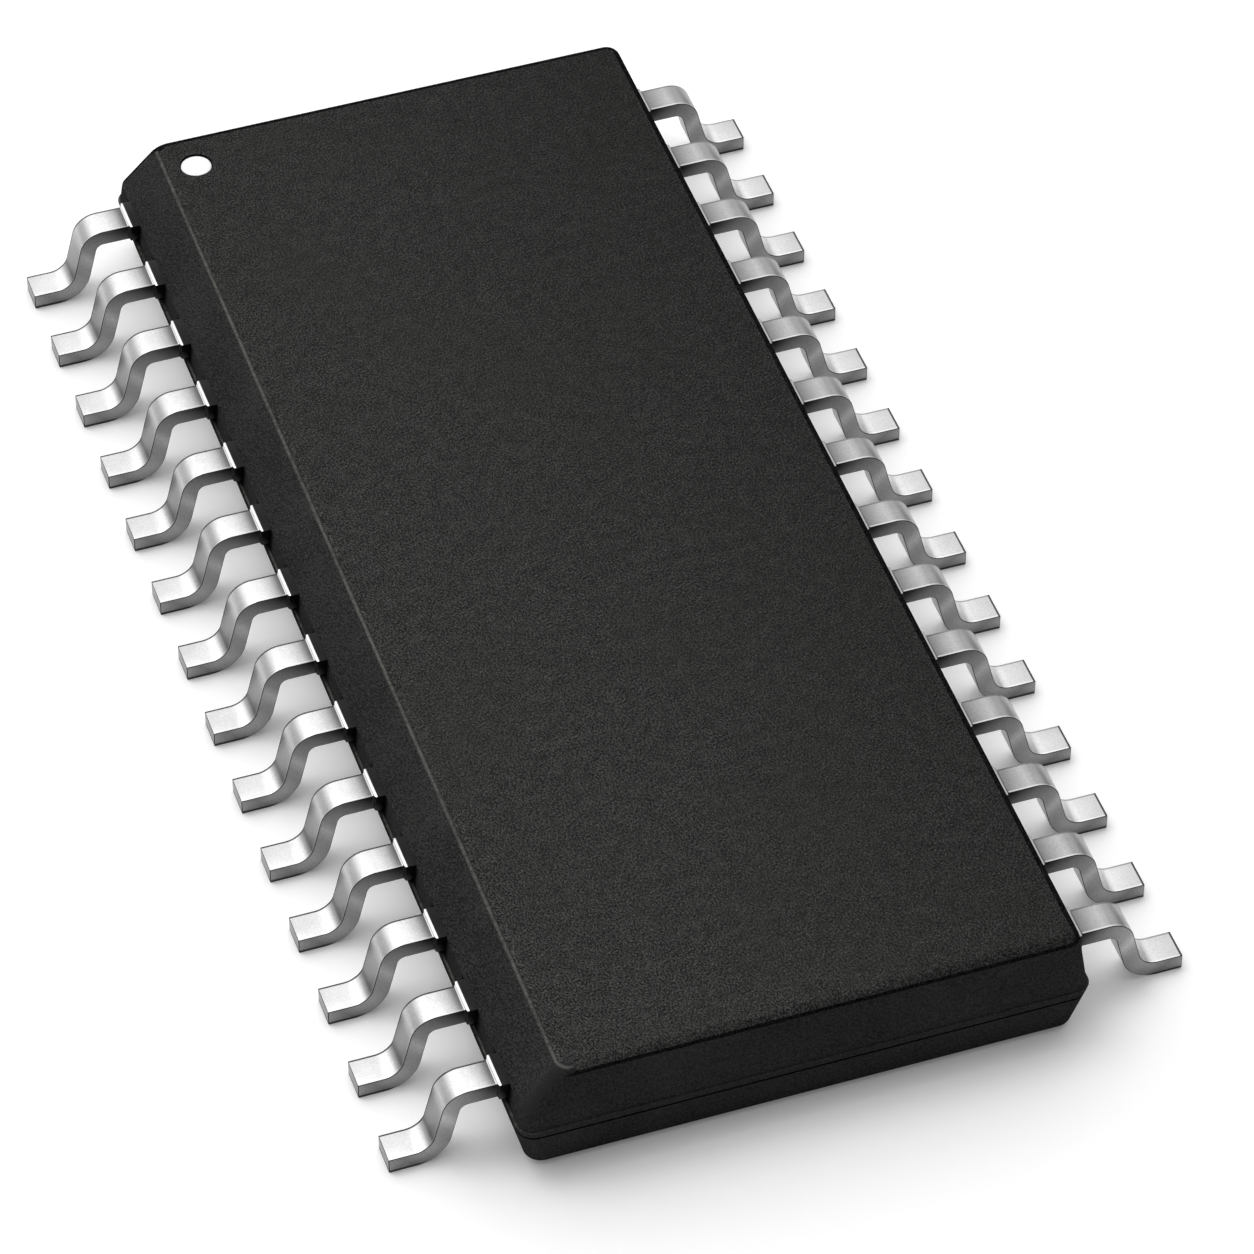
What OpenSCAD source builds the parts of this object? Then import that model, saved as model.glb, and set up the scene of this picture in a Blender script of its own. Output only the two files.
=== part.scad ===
// Analog-to-digital converter chip in a small-outline package with 28 gull-wing leads.
// X runs across the package, Y along it and Z up. The origin is the centre of the footprint, on the board.
// Lead 1 is on the -X side at the +Y end. The numbers run down that row and back up the other one.

/* [Moulding] */
// Length at the parting plane
body_length = 18.25; // [17.7:0.05:18.4]
// Width at the parting plane
body_width = 7.48; // [7.4:0.02:7.6]
// Height of the half above the parting plane
upper_height = 0.88; // [0.84:0.01:1.3]
// Height of the half below the parting plane
lower_height = 0.72; // [0.7:0.01:1.1]
// Gap between the board and the underside
standoff = 0.1; // [0.08:0.01:0.3]
// Draft of the upper walls, in degrees
upper_draft = 7; // [3:0.5:10]
// Draft of the lower walls, in degrees
lower_draft = 12; // [3:0.5:14]
// How far the lower half stands out past the upper half at the parting plane
parting_ledge = 0.03; // [0.01:0.005:0.05]
// Radius of the upright corners
corner_radius = 0.18; // [0.08:0.01:0.3]
// Width of the bevel along the pin 1 side of the top, seen from above
bevel_width = 0.42; // [0.25:0.01:0.6]
// Depth of the bevel below the top
bevel_depth = 0.48; // [0.25:0.01:0.5]

/* [Pin 1 dot] */
// Diameter of the dot and its dimple
dot_diameter = 0.45; // [0.3:0.01:0.6]
// Depth of the dimple
dimple_depth = 0.05; // [0.03:0.005:0.08]
// Thickness of the ink in the dimple
ink_thickness = 0.03; // [0.01:0.005:0.03]
// From the end of the top face to the middle of the dot
dot_from_end = 0.64; // [0.4:0.01:1]
// From the bevel's upper edge to the middle of the dot
dot_from_bevel = 0.45; // [0.36:0.01:1]

/* [Leads outside the moulding] */
// Distance from lead to lead along a row
lead_pitch = 1.27; // [1.25:0.005:1.28]
// Overall width from foot tip to foot tip
lead_span = 10.45; // [10.1:0.05:10.65]
// Width of a lead
lead_width = 0.43; // [0.32:0.01:0.5]
// Thickness of the lead frame's metal
lead_thickness = 0.23; // [0.2:0.01:0.28]
// Height of the leads' underside above the parting plane
lead_rise = 0.08; // [0.02:0.01:0.1]
// Flat length of the solder foot
foot_length = 0.33; // [0.2:0.01:0.36]
// Inside radius of the bend above the foot
foot_bend_radius = 0.27; // [0.2:0.01:0.36]
// Inside radius of the bend at the shoulder
shoulder_bend_radius = 0.12; // [0.1:0.01:0.18]
// Lean of the leg from upright, in degrees
leg_lean = 14; // [10:0.5:16]
// Thinning of the metal in the bends
bend_thinning = 0.006; // [0.004:0.001:0.01]
// Width of the collar where the lead leaves the moulding
collar_width = 0.53; // [0.45:0.01:0.6]
// How far the collar reaches past the moulding
collar_reach = 0.08; // [0.05:0.01:0.14]
// How far the collar's top stands above the lead's
collar_raise = 0.02; // [0.01:0.005:0.03]
// How deep the collar is anchored in the moulding
collar_anchor = 0.3; // [0.2:0.01:0.4]

/* [Lead fingers inside the moulding] */
// Width of a finger
finger_width = 0.25; // [0.2:0.01:0.28]
// Gap between a fingertip and the die pad, seen from above
finger_pad_gap = 0.25; // [0.15:0.01:0.35]
// From the middle of the package to the nearest finger at the pad's end
end_finger_start = 0.55; // [0.5:0.01:0.65]
// Spacing of the fingers at the pad's end
end_finger_pitch = 0.4; // [0.36:0.01:0.42]
// Size of the diagonal at a finger's corner
finger_corner = 0.35; // [0.2:0.01:0.5]

/* [Die pad] */
// Length of the pad
pad_length = 6.6; // [6.4:0.05:7]
// Width of the pad
pad_width = 4; // [3.6:0.05:4.2]
// How far the pad lies below the leads
pad_downset = 0.2; // [0.1:0.01:0.3]
// Width of the tie bars
tie_bar_width = 0.3; // [0.2:0.01:0.4]
// Length of the slope in each tie bar
tie_bar_slope = 0.4; // [0.3:0.01:0.6]
// Level stretch of the tie bar beside the pad
tie_bar_start = 0.5; // [0.3:0.01:0.8]
// Plastic left between a tie bar's end and the end wall
tie_bar_cover = 0.3; // [0.2:0.01:0.5]

/* [Die] */
// Length of the silicon
die_length = 4.4; // [4.2:0.05:5]
// Width of the silicon
die_width = 2.8; // [2.6:0.05:3.2]
// Thickness of the silicon
die_thickness = 0.28; // [0.2:0.01:0.35]
// Thickness of the adhesive under the silicon
attach_thickness = 0.03; // [0.02:0.005:0.05]
// How far the adhesive spreads past the silicon on each side
attach_fillet = 0.1; // [0.05:0.01:0.2]

/* [Bond wires] */
// Diameter of the wire
wire_diameter = 0.04; // [0.03:0.002:0.05]
// Rise of the loop above the line between its ends
wire_rise = 0.24; // [0.18:0.01:0.3]
// Diameter of the ball on the die
ball_diameter = 0.1; // [0.08:0.005:0.12]
// Height of the ball on the die
ball_height = 0.04; // [0.03:0.002:0.05]
// Diameter of the stitch on the finger
stitch_diameter = 0.1; // [0.08:0.005:0.14]
// Height of the stitch on the finger
stitch_height = 0.03; // [0.02:0.002:0.04]
// From the edge of the die to the middle of a ball
ball_from_edge = 0.12; // [0.1:0.01:0.2]
// From the end of a finger to the middle of a stitch
stitch_from_tip = 0.15; // [0.1:0.01:0.25]
// Spacing of the balls along the sides of the die
side_ball_pitch = 0.64; // [0.5:0.01:0.7]
// Spacing of the balls along the ends of the die
end_ball_pitch = 0.32; // [0.25:0.01:0.35]

/* [Hidden] */
$fn = 48;
leads_per_row = 14;
lead_total = 2 * leads_per_row;
// Leads at each end of a row whose fingers turn toward the end of the pad
end_leads = 4;
// Overlap of a cutter past the face that it opens
cut_margin = 0.5;
// Upright rim at the top and the bottom of each half of the moulding
rim_height = 0.01;
// Angle by which a bend laps into the straight metal at each end
bend_lap = 3;

// Levels
parting_z = standoff + lower_height;
body_top = parting_z + upper_height;
lead_bottom = parting_z + lead_rise;
lead_top = lead_bottom + lead_thickness;
pad_top = lead_top - pad_downset;
die_bottom = pad_top + attach_thickness;
die_top = die_bottom + die_thickness;

// Setback of the walls at the top and at the underside
upper_setback = upper_height * tan(upper_draft);
lower_setback = lower_height * tan(lower_draft);
upper_length = body_length - 2 * parting_ledge;
upper_width = body_width - 2 * parting_ledge;
top_length = upper_length - 2 * upper_setback;
top_width = upper_width - 2 * upper_setback;
bevel_edge_x = bevel_width - top_width / 2;

// Places along the lead's section
collar_x = body_width / 2 + collar_reach;
tip_x = lead_span / 2;
bend_angle = 90 - leg_lean;
foot_bend_x = tip_x - foot_length;
foot_bend_z = lead_thickness + foot_bend_radius;
leg_foot_x = foot_bend_x - (foot_bend_radius + lead_thickness) * sin(bend_angle);
leg_foot_z = foot_bend_z - (foot_bend_radius + lead_thickness) * cos(bend_angle);
shoulder_bend_z = lead_bottom - shoulder_bend_radius;
leg_shoulder_z = shoulder_bend_z + shoulder_bend_radius * cos(bend_angle);
leg_length = (leg_shoulder_z - leg_foot_z) / sin(bend_angle);
leg_shoulder_x = leg_foot_x - leg_length * cos(bend_angle);
shoulder_bend_x = leg_shoulder_x - shoulder_bend_radius * sin(bend_angle);

// Numbering: row is -1 for leads 1 to 14 and 1 for leads 15 to 28, rank counts from the +Y end
function row(n) = n <= leads_per_row ? -1 : 1;
function rank(n) = n <= leads_per_row ? n - 1 : lead_total - n;
function lead_y(n) = ((leads_per_row - 1) / 2 - rank(n)) * lead_pitch;
function pack_end(n) = lead_y(n) > 0 ? 1 : -1;
function from_end(n) = min(rank(n), leads_per_row - 1 - rank(n));
function is_end_lead(n) = from_end(n) < end_leads;
function lead_name(n) = str("lead_", n < 10 ? "0" : "", n);

// Middle line of a finger, from the collar to its tip
function end_finger_x(n) = row(n) * (end_finger_start + from_end(n) * end_finger_pitch);
function side_finger_path(n) = [
    [row(n) * body_width / 2, lead_y(n)],
    [row(n) * (pad_width / 2 + finger_pad_gap), lead_y(n)]
];
function end_finger_path(n) = [
    [row(n) * body_width / 2, lead_y(n)],
    [end_finger_x(n) + row(n) * finger_corner, lead_y(n)],
    [end_finger_x(n), lead_y(n) - pack_end(n) * finger_corner],
    [end_finger_x(n), pack_end(n) * (pad_length / 2 + finger_pad_gap)]
];
function finger_path(n) = is_end_lead(n) ? end_finger_path(n) : side_finger_path(n);

// Outline of a strip of even width along a middle line
function heading(from, to) = (to - from) / norm(to - from);
function left_of(direction) = [-direction[1], direction[0]];
function mitre(before, after) = (left_of(before) + left_of(after)) / (1 + before * after);
function strip_normal(path, i) =
    i == 0 ? left_of(heading(path[0], path[1])) :
    i == len(path) - 1 ? left_of(heading(path[i - 1], path[i])) :
    mitre(heading(path[i - 1], path[i]), heading(path[i], path[i + 1]));
function strip_edge(path, offset) = [for (i = [0 : len(path) - 1]) path[i] + offset * strip_normal(path, i)];
function reversed(list) = [for (i = [len(list) - 1 : -1 : 0]) list[i]];
function strip_outline(path, width) = concat(strip_edge(path, width / 2), reversed(strip_edge(path, -width / 2)));

// Ends of each bond wire
function tip_heading(n) = heading(reversed(finger_path(n))[1], reversed(finger_path(n))[0]);
function stitch_place(n) = reversed(finger_path(n))[0] - stitch_from_tip * tip_heading(n);
function side_ball_place(n) = [
    row(n) * (die_width / 2 - ball_from_edge),
    ((leads_per_row - 1) / 2 - rank(n)) * side_ball_pitch
];
function end_ball_place(n) = [
    row(n) * (from_end(n) + 1 / 2) * end_ball_pitch,
    pack_end(n) * (die_length / 2 - ball_from_edge)
];
function ball_place(n) = is_end_lead(n) ? end_ball_place(n) : side_ball_place(n);

// One half of the moulding: walls with round upright corners that lean in by the setback over the height
module drafted_half(length, width, setback, height) {
    hull()
        for (level = [0, 1], x = [-1, 1], y = [-1, 1])
            translate([
                x * (width / 2 - corner_radius - level * setback),
                y * (length / 2 - corner_radius - level * setback),
                level * (height - rim_height)
            ])
                cylinder(r = corner_radius, h = rim_height);
}

// The wedge that is cut away to make the bevel along the pin 1 side
module bevel_cutter() {
    translate([bevel_edge_x, 0, body_top])
        rotate([0, -atan(bevel_depth / bevel_width), 0])
            translate([-body_width / 2, -body_length / 2 - cut_margin, 0])
                cube([body_width / 2 + cut_margin, body_length + 2 * cut_margin, upper_height]);
}

module dot_place() {
    translate([bevel_edge_x + dot_from_bevel, top_length / 2 - dot_from_end, body_top - dimple_depth])
        children();
}

module moulded_body() {
    color([0.17, 0.17, 0.165])
        difference() {
            union() {
                translate([0, 0, parting_z])
                    drafted_half(upper_length, upper_width, upper_setback, upper_height);
                translate([0, 0, parting_z])
                    mirror([0, 0, 1])
                        drafted_half(body_length, body_width, lower_setback, lower_height);
            }
            bevel_cutter();
            dot_place()
                cylinder(d = dot_diameter, h = dimple_depth + cut_margin);
            for (n = [1 : lead_total]) {
                lead_anchor(n);
                bond_wire(n);
            }
            die_pad();
            die_attach();
            silicon_die();
        }
}

module pin_1_dot() {
    color([0.97, 0.97, 0.96])
        dot_place()
            cylinder(d = dot_diameter, h = ink_thickness);
}

// The flat part of a lead: collar and finger
module lead_anchor(n) {
    translate([0, 0, lead_bottom])
        linear_extrude(height = lead_thickness)
            polygon(strip_outline(finger_path(n), finger_width));
    collar_length = collar_anchor + collar_reach;
    collar_height = lead_thickness + collar_raise;
    translate([row(n) * (collar_x - collar_length / 2), lead_y(n), lead_bottom + collar_height / 2])
        cube([collar_length, collar_width, collar_height], center = true);
}

// One bend of a lead, about the Y axis: it laps into the straight metal at both ends
module bend(radius) {
    rotate([90, bend_lap, 0])
        rotate_extrude(angle = bend_angle + 2 * bend_lap)
            translate([radius + bend_thinning / 2, -lead_width / 2])
                square([lead_thickness - bend_thinning, lead_width]);
}

// The formed part of a lead, for the +X row at Y = 0
module lead_form() {
    translate([body_width / 2, -lead_width / 2, lead_bottom])
        cube([shoulder_bend_x - body_width / 2, lead_width, lead_thickness]);
    translate([shoulder_bend_x, 0, shoulder_bend_z])
        rotate([0, -leg_lean, 0])
            bend(shoulder_bend_radius);
    translate([leg_foot_x, -lead_width / 2, leg_foot_z])
        rotate([0, -leg_lean, 0])
            cube([lead_thickness, lead_width, leg_length]);
    translate([foot_bend_x, 0, foot_bend_z])
        rotate([0, 180 - leg_lean, 0])
            bend(foot_bend_radius);
    translate([foot_bend_x, -lead_width / 2, 0])
        cube([foot_length, lead_width, lead_thickness]);
}

module lead(n) {
    color([0.8, 0.8, 0.8]) {
        lead_anchor(n);
        translate([0, lead_y(n), 0])
            rotate([0, 0, row(n) > 0 ? 0 : 180])
                lead_form();
    }
}

// Side view of one tie bar, from the pad out to its end
module tie_bar_profile() {
    slope_start = pad_length / 2 + tie_bar_start;
    slope_end = slope_start + tie_bar_slope;
    bar_end = body_length / 2 - tie_bar_cover;
    polygon([
        [0, pad_top - lead_thickness],
        [slope_start, pad_top - lead_thickness],
        [slope_end, lead_bottom],
        [bar_end, lead_bottom],
        [bar_end, lead_top],
        [slope_end, lead_top],
        [slope_start, pad_top],
        [0, pad_top]
    ]);
}

module die_pad() {
    color([0.8, 0.55, 0.4]) {
        translate([-pad_width / 2, -pad_length / 2, pad_top - lead_thickness])
            cube([pad_width, pad_length, lead_thickness]);
        for (side = [0, 180])
            rotate([90, 0, 90 + side])
                translate([0, 0, -tie_bar_width / 2])
                    linear_extrude(height = tie_bar_width)
                        tie_bar_profile();
    }
}

module die_attach() {
    attach_length = die_length + 2 * attach_fillet;
    attach_width = die_width + 2 * attach_fillet;
    color([0.75, 0.75, 0.72])
        translate([-attach_width / 2, -attach_length / 2, pad_top])
            cube([attach_width, attach_length, attach_thickness]);
}

module silicon_die() {
    color([0.35, 0.36, 0.42])
        translate([-die_width / 2, -die_length / 2, die_bottom])
            cube([die_width, die_length, die_thickness]);
}

// One wire: a ball on the die, an arc in the upright plane through both ends, and a stitch on the finger
module bond_wire(n) {
    ball = ball_place(n);
    stitch = stitch_place(n);
    reach = norm(stitch - ball);
    drop = die_top - lead_top;
    chord = norm([reach, drop]);
    loop_radius = (chord * chord / 4 + wire_rise * wire_rise) / (2 * wire_rise);
    half_angle = asin(chord / 2 / loop_radius);
    compass = atan2(stitch[1] - ball[1], stitch[0] - ball[0]);
    translate([ball[0], ball[1], die_top])
        cylinder(d = ball_diameter, h = ball_height);
    translate([stitch[0], stitch[1], lead_top])
        cylinder(d = stitch_diameter, h = stitch_height);
    translate([ball[0], ball[1], die_top + wire_diameter / 2])
        rotate([0, atan(drop / reach), compass])
            translate([chord / 2, 0, wire_rise - loop_radius])
                rotate([90, 0, 0])
                    rotate([0, 0, 90 - half_angle])
                        rotate_extrude(angle = 2 * half_angle)
                            translate([loop_radius, 0])
                                circle(d = wire_diameter);
}

module bond_wires() {
    color([0.9, 0.75, 0.35])
        for (n = [1 : lead_total])
            bond_wire(n);
}

moulded_body();
pin_1_dot();
die_pad();
die_attach();
silicon_die();
bond_wires();
for (n = [1 : lead_total])
    lead(n);
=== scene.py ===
import math

import bmesh
import bpy
from mathutils import Matrix, Vector


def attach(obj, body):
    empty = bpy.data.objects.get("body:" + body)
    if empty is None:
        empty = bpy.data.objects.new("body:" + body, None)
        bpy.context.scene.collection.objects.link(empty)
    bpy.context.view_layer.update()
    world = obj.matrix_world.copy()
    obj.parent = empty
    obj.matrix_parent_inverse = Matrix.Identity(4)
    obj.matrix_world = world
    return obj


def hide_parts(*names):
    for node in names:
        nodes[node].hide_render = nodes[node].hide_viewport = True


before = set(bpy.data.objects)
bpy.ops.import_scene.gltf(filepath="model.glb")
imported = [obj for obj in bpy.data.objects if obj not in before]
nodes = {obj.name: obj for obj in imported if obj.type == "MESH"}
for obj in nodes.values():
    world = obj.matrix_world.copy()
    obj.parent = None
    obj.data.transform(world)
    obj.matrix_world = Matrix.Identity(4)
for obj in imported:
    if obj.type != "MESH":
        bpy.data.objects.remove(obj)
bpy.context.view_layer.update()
millimetre = 0.001  # shapes below are in millimetres until they are finished
smoothBelow = 40.0  # degrees: sharper folds stay crisp
print("frame loaded:", len(nodes), "solids")


# shader maths: in the paints below, s is the sheet of nodes that a material is drawn on

class Socket:
    # an output of a node tree: arithmetic on it adds Math nodes
    def __init__(self, tree, output=None):
        self.tree = tree
        self.output = output

    def node(self, kind, settings=None, inputs=None, output=0):
        made = self.tree.nodes.new(kind)
        for name, value in (settings or {}).items():
            if name == "stops":
                ramp = made.color_ramp.elements
                while len(ramp) < len(value):
                    ramp.new(1.0)
                for stop, (place, level) in zip(ramp, value):
                    stop.position = place
                    stop.color = grey(level)
            else:
                setattr(made, name, value)
        for name, value in (inputs or {}).items():
            if isinstance(value, Socket):
                self.tree.links.new(value.output, made.inputs[name])
            else:
                made.inputs[name].default_value = value
        return Socket(self.tree, made.outputs[output] if len(made.outputs) else made)

    def surface(self, inputs):
        return self.node("ShaderNodeBsdfPrincipled", inputs=inputs)

    def math(self, operation, first, second=0.0):
        return self.node("ShaderNodeMath", {"operation": operation}, {0: first, 1: second})

    def __add__(self, other):
        return self.math("ADD", self, other)

    def __radd__(self, other):
        return self.math("ADD", other, self)

    def __sub__(self, other):
        return self.math("SUBTRACT", self, other)

    def __rsub__(self, other):
        return self.math("SUBTRACT", other, self)

    def __mul__(self, other):
        return self.math("MULTIPLY", self, other)

    def __truediv__(self, other):
        return self.math("DIVIDE", self, other)

    def between(self, low, high):  # 0 below low, 1 above high, smooth in between
        return self.node(
            "ShaderNodeMapRange",
            {"interpolation_type": "SMOOTHSTEP"},
            {"Value": self, "From Min": low, "From Max": high},
        )

    def mix(self, kind, share, first, second):  # a Mix node's colours are inputs 6 and 7 and output 2
        return self.node(
            "ShaderNodeMix", {"data_type": "RGBA", "blend_type": kind}, {0: share, 6: first, 7: second}, 2
        )

    def blend(self, share, first, second):  # from one colour to another
        return self.mix("MIX", share, first, second)

    def shade(self, first, second):  # one colour times another
        return self.mix("MULTIPLY", 1.0, first, second)

    def ramp(self, stops):  # grey levels at places
        first, last = stops[0][0], stops[-1][0]
        placed = [((place - first) / (last - first), level) for place, level in stops]
        return self.node("ShaderNodeValToRGB", {"stops": placed}, {0: (self - first) / (last - first)})

    def place(self):  # object coordinates in millimetres
        where = self.node("ShaderNodeTexCoord", output="Object")
        return self.node("ShaderNodeVectorMath", {"operation": "SCALE"}, {0: where, "Scale": 1 / millimetre})

    def noise(self, where, scale, detail=2.0, roughness=0.5, distortion=0.0):
        return self.node(
            "ShaderNodeTexNoise",
            inputs={
                "Vector": where, "Scale": scale, "Detail": detail,
                "Roughness": roughness, "Distortion": distortion,
            },
        )

    def stretched(self, where, turn, stretch):  # a pattern drawn out along axes turned about Z
        return self.node(
            "ShaderNodeMapping",
            {"vector_type": "TEXTURE"},
            {"Vector": where, "Rotation": (0.0, 0.0, math.radians(turn)), "Scale": stretch},
        )

    def axis(self, where, index):
        return self.node("ShaderNodeSeparateXYZ", inputs={0: where}, output=index)

    def bump(self, height, depth, strength=1.0):
        return self.node(
            "ShaderNodeBump", inputs={"Height": height, "Distance": depth * millimetre, "Strength": strength}
        )


def grey(level):
    return (level, level, level, 1.0)


def tint(level, warmth):  # a grey with a touch of straw in it
    return (level * (1 + warmth * 0.4), level * (1 + warmth * 0.3), level * (1 - warmth), 1.0)


def material(name, paint):
    made = bpy.data.materials.new(name)
    made.use_nodes = True
    made.node_tree.nodes.clear()
    sheet = Socket(made.node_tree)
    sheet.node("ShaderNodeOutputMaterial", inputs={"Surface": paint(sheet)})
    return made


# building pieces: in the functions below, d is the piece's own dictionary of dimensions

def faceNormals(bm):
    bmesh.ops.recalc_face_normals(bm, faces=bm.faces)
    bm.normal_update()


def sharpEdges(bm, angle):
    bm.normal_update()
    return [e for e in bm.edges if len(e.link_faces) == 2 and e.calc_face_angle(0.0) > math.radians(angle)]


def roundEdges(bm, edges, radius, segments):
    return bmesh.ops.bevel(
        bm, geom=list(edges), offset=radius, offset_type="OFFSET", affect="EDGES",
        segments=segments, profile=0.5, material=-1, clamp_overlap=True, loop_slide=True,
    )


def finishPiece(bm, name, materials, replaced):
    bmesh.ops.scale(bm, vec=(millimetre,) * 3, verts=bm.verts)
    mesh = bpy.data.meshes.new(name)
    bm.to_mesh(mesh)
    bm.free()
    mesh.shade_smooth()
    mesh.set_sharp_from_angle(angle=math.radians(smoothBelow))
    for made in materials:
        mesh.materials.append(made)
    piece = bpy.data.objects.new(name, mesh)
    bpy.context.scene.collection.objects.link(piece)
    weighted = piece.modifiers.new("evenFaces", "WEIGHTED_NORMAL")
    weighted.keep_sharp = True
    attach(piece, "root")
    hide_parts(*replaced)
    return piece


# sizes of a lead, which the finish of the moulding needs too

lead = {
    "perRow": 14,
    "pitch": 1.27,
    "width": 0.43,
    "thickness": 0.23,
    "tip": 5.225,
    "footLength": 0.33,
    "footBend": 0.27,
    "shoulderBend": 0.12,
    "lean": 14.0,
    "collarEnd": 3.82,
    "collarStart": 3.44,
    "collarWidth": 0.53,
    "collarRaise": 0.02,
    "collarTaper": 0.012,
    "underside": 0.9,
    "fingerWidth": 0.25,
    "fingerCorner": 0.35,
    "endLeads": 4,
    "endFingerStart": 0.55,
    "endFingerPitch": 0.4,
    "fingerEndX": 2.25,
    "fingerEndY": 3.55,
    "fingerMitre": 22.5,
    "bendSteps": 14,
    "edge": 0.022,
    "edgeSteps": 3,
    "edgeAngle": 28.0,
    "weld": 0.00001,
}


def offLead(s, where):  # distance from the nearest lead's centre line, positive toward the far end
    rank = s.axis(where, 1) / lead["pitch"]
    return (rank - s.math("FLOOR", rank) - 0.5) * lead["pitch"]  # leads stand half a pitch off the middle


# moulding

moulding = {
    "length": 18.25,
    "width": 7.48,
    "underside": 0.1,
    "parting": 0.82,
    "top": 1.7,
    "upperDraft": 7.0,
    "lowerDraft": 12.0,
    "ledge": 0.03,
    "corner": 0.22,
    "cornerSteps": 8,
    "bevelWidth": 0.42,
    "bevelDepth": 0.48,
    "topEdge": 0.13,
    "bevelFoot": 0.03,
    "edgeSteps": 11,
    "lowEdge": 0.015,
    "smallSteps": 3,
    "cornerAngle": 25.0,  # degrees: sharper edges than this are rounded
    "rimAngle": 20.0,
    "endFacing": 0.9,  # shares of a face's normal along an axis
    "sideFacing": 0.7,
    "grooveFacing": 0.5,
    "lidFacing": 0.99,
    "sameLevel": 0.001,
    "aboveParting": 0.1,
    "seam": 0.7,
    "seamWidth": 0.036,
    "seamDepth": 0.012,
    "seamSide": 0.15,
    "dotFromBevel": 0.45,
    "dotFromEnd": 0.64,
    "dimpleRadius": 0.228,
    "dimpleDepth": 0.05,
    "dimpleMargin": 0.1,
    "dimpleCuts": 9,
    "dimpleInset": 0.03,
    "dimpleLip": ((0.004, 0.006), (0.004, 0.012)),  # steps inward and down
    "dimpleWall": 0.003,
}

# painted highlight along the edge of the top, where its rounding catches the light: its places in X and Y,
# rounding, fade-out and width
edgeHighlightLine = {"line": -3.17, "front": -8.94, "corner": 0.17, "fade": 0.3, "core": 0.005, "reach": 0.03}
# painted shadow of the leads on the walls: on the long sides, between two heights and up to some way from a
# lead
leadShadowOnWall = {"side": (3.5, 3.6), "over": (0.6, 0.8), "under": (1.15, 1.3), "fromLead": (0.254, 0.432)}


def topInset(d):  # from the widest outline in to the top's, where there is no bevel
    return d["ledge"] + (d["top"] - d["parting"]) * math.tan(math.radians(d["upperDraft"]))


def bevelEdge(d):
    return topInset(d) + d["bevelWidth"] - d["width"] / 2


def dotPlace(d):
    return (bevelEdge(d) + d["dotFromBevel"], d["length"] / 2 - topInset(d) - d["dotFromEnd"])


# noise that breaks up the painted highlights on the top's edge and on the ledge
def highlightMarks(s, where):  # fine marks alone, and with longer stretches
    fine = s.noise(where, 16.0, detail=3.0, roughness=0.6)
    return fine, fine * 0.6 + s.noise(where, 1.3) * 0.4


def paintedEdgeHighlight(s, where):
    # how strong the painted highlight on the edge of the top is, along the bevel and round the near corner
    rounding = edgeHighlightLine["corner"]
    startX = edgeHighlightLine["line"] + rounding
    aside = s.math("MAXIMUM", startX - s.axis(where, 0), 0.0)
    ahead = s.math("MAXIMUM", edgeHighlightLine["front"] + rounding - s.axis(where, 1), 0.0)
    apart = s.math("ABSOLUTE", s.math("SQRT", aside * aside + ahead * ahead) - rounding)
    line = 1 - apart.between(edgeHighlightLine["core"], edgeHighlightLine["reach"])
    fade = 1 - s.axis(where, 0).between(startX - rounding / 2, startX + edgeHighlightLine["fade"])
    _, marks = highlightMarks(s, where)
    return line * fade * (0.35 + marks.between(0.36, 0.64) * 0.65)


def grainPaint(s):
    where = s.place()
    wrinkles = s.noise(s.stretched(where, -73, (1.6, 1.0, 1.0)), 50.0, detail=1.0, distortion=0.3)
    pits = s.noise(where, 80.0, detail=1.0)
    clumps = s.noise(where, 6.0)
    patches = s.noise(where, 0.45, detail=3.0, roughness=0.6)
    tone = (wrinkles * 0.65 + pits * 0.35 + (clumps - 0.5) * 0.12).between(0.376, 0.726)
    dark = s.blend(tone, tint(0.01, 0.015), tint(0.115, 0.02))
    paint = s.blend(patches.between(0.4, 0.75) * 0.25, dark, tint(0.04, 0.05))
    # painted shade: darker toward the far end and the right-hand side, where less light falls
    across = s.axis(where, 0).ramp(((-3.6, 1.0), (-1.0, 0.95), (1.5, 0.8), (3.6, 0.66)))
    along = s.axis(where, 1).ramp(((-9.0, 1.0), (0.0, 0.96), (9.0, 0.86)))
    paint = s.shade(paint, s.shade(across, along))
    return s.surface({
        # painted highlight along the edge of the top
        "Base Color": s.blend(paintedEdgeHighlight(s, where), paint, tint(0.1, 0.06)),
        "Roughness": 0.55 + wrinkles * 0.2,
        "Specular IOR Level": 0.06,
        "Normal": s.bump(wrinkles + pits * 0.4, 0.05, 1.0),
    })


def bevelPaint(s):
    where = s.place()
    wrinkles = s.noise(s.stretched(where, -73, (1.6, 1.0, 1.0)), 46.0, detail=1.0, distortion=0.3)
    patches = s.noise(where, 0.8, detail=3.0, roughness=0.6)
    tone = (wrinkles * 0.75 + patches * 0.25).between(0.34, 0.68)
    grained = s.axis(where, 1).between(-9.0, -8.7)  # smooth at the near corner
    paint = s.blend(grained, grey(0.024), s.blend(tone, tint(0.007, 0.015), tint(0.037, 0.015)))
    return s.surface({
        # painted highlight along the edge of the top
        "Base Color": s.blend(paintedEdgeHighlight(s, where), paint, tint(0.1, 0.06)),
        "Roughness": 0.55 + patches * 0.12,
        "Specular IOR Level": 0.06,
        "Normal": s.bump(wrinkles * grained, 0.03, 0.8),
    })


# painted highlight on the ledge along the pin 1 side, where the step catches the light
def ledgeHighlightPaint(s):
    where = s.place()
    fine, marks = highlightMarks(s, where)
    return s.surface({
        "Base Color": s.blend(marks.between(0.34, 0.64), tint(0.015, 0.05), tint(0.09, 0.06)),
        "Roughness": 0.45 + fine * 0.15,
        "Specular IOR Level": 0.2,
        "Normal": s.bump(fine, 0.01, 0.6),
    })


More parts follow.
